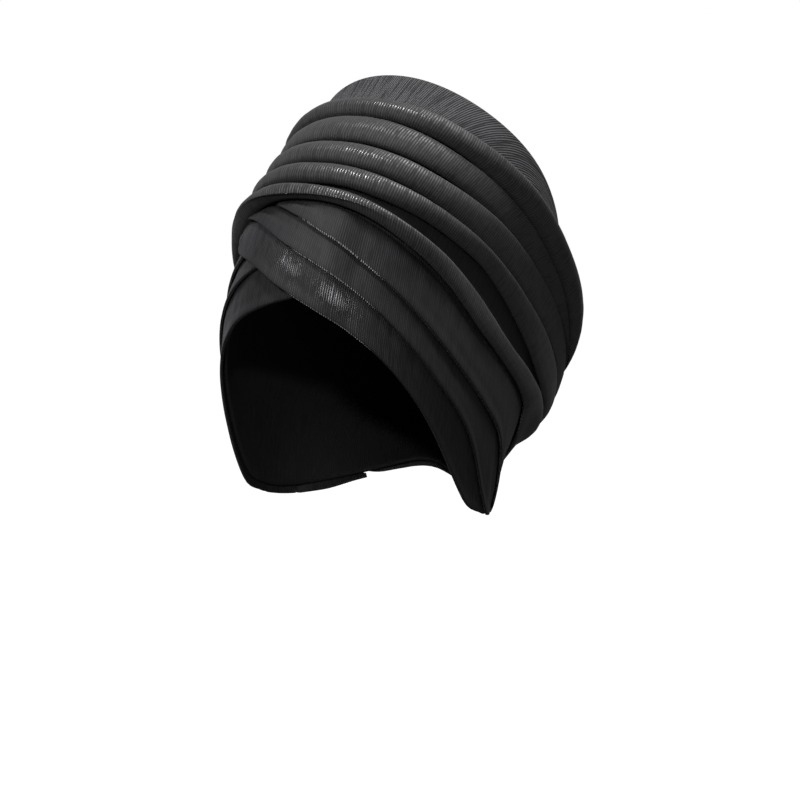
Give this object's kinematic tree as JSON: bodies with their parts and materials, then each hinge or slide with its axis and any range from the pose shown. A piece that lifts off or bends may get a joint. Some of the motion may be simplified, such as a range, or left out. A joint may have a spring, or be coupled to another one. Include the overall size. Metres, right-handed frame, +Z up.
{
  "type": "turban headscarf",
  "caption": "Ready wrapped turban head tie in black stretch cloth, with padded rolled pleats round a tilted crown and flat bands crossed over the forehead.",
  "frame": {"origin": "middle of the wearer's head at brow level, where the wrap is held", "axes": "+Z up, the wearer faces -Y, +X is the wearer's left"},
  "size_m": [0.1854, 0.2589, 0.2633],
  "materials": {
    "cap_cloth": "matte knitted",
    "crown_cloth": "matte knitted, fine ribs",
    "roll_cloth": "crinkled stretch cloth with a soft sheen",
    "band_cloth": "crinkled stretch cloth"
  },
  "bodies": {
    "root": {"cap": "cap_cloth", "crown_top": "crown_cloth", "roll_1": "roll_cloth", "roll_2": "roll_cloth", "roll_3": "roll_cloth", "roll_4": "roll_cloth", "roll_5": "roll_cloth", "left_band_lower": "band_cloth", "left_band_upper": "band_cloth", "left_panel": "band_cloth", "right_band_lower": "band_cloth", "right_band_upper": "band_cloth", "right_panel": "band_cloth"}
  },
  "joints": []
}
